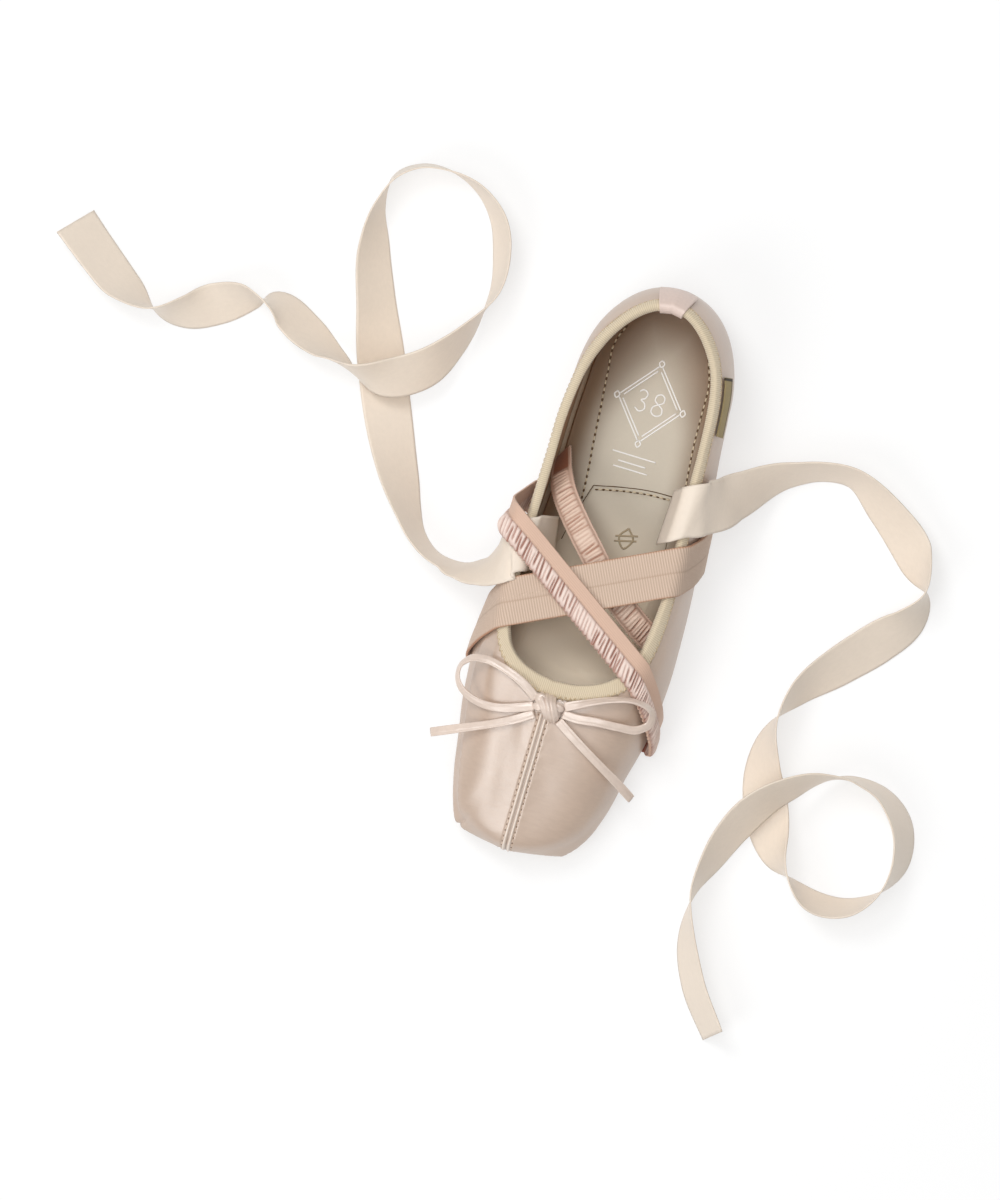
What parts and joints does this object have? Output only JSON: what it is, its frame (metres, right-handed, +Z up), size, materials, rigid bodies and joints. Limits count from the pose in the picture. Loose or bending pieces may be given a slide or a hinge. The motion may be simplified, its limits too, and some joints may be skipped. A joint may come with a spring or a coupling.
{
  "type": "ballet flat, left shoe",
  "caption": "Satin ballet flat with square box toe, bound topline, crossed elastics over the instep, rouleau bow and two loose ankle ribbons, on a thin low-heeled sole.",
  "frame": {"origin": "on the ground plane, under the middle of the shoe's own box without its ribbons and bow", "axes": "+Z up, the toe points to -Y and the heel to +Y, +X towards the outer (lateral) side of the foot"},
  "size_m": [0.4207, 0.3194, 0.0589],
  "materials": {
    "satin_upper": "satin",
    "knit_binding": "matte ribbed knit",
    "heel_tape": "matte grosgrain",
    "sock_leather": "matte",
    "sole_rubber": "matte",
    "heel_stack": "matte",
    "grosgrain_elastic": "matte grosgrain",
    "peach_elastic": "matte, one edge ruched",
    "pleated_elastic": "matte pleated",
    "bow_satin": "satin",
    "ribbon_satin": "satin"
  },
  "bodies": {
    "root": {"upper": "satin_upper", "topline_binding": "knit_binding", "heel_tab": "heel_tape", "insole": "sock_leather", "outsole": "sole_rubber", "heel": "heel_stack", "strap_grosgrain": "grosgrain_elastic", "strap_ruched": "peach_elastic", "strap_pleated": "pleated_elastic", "bow_knot": "bow_satin", "bow_loop_medial": "bow_satin", "bow_loop_lateral": "bow_satin", "bow_tail_medial": "bow_satin", "bow_tail_lateral": "bow_satin", "ribbon_medial": "ribbon_satin", "ribbon_lateral": "ribbon_satin"}
  },
  "joints": []
}
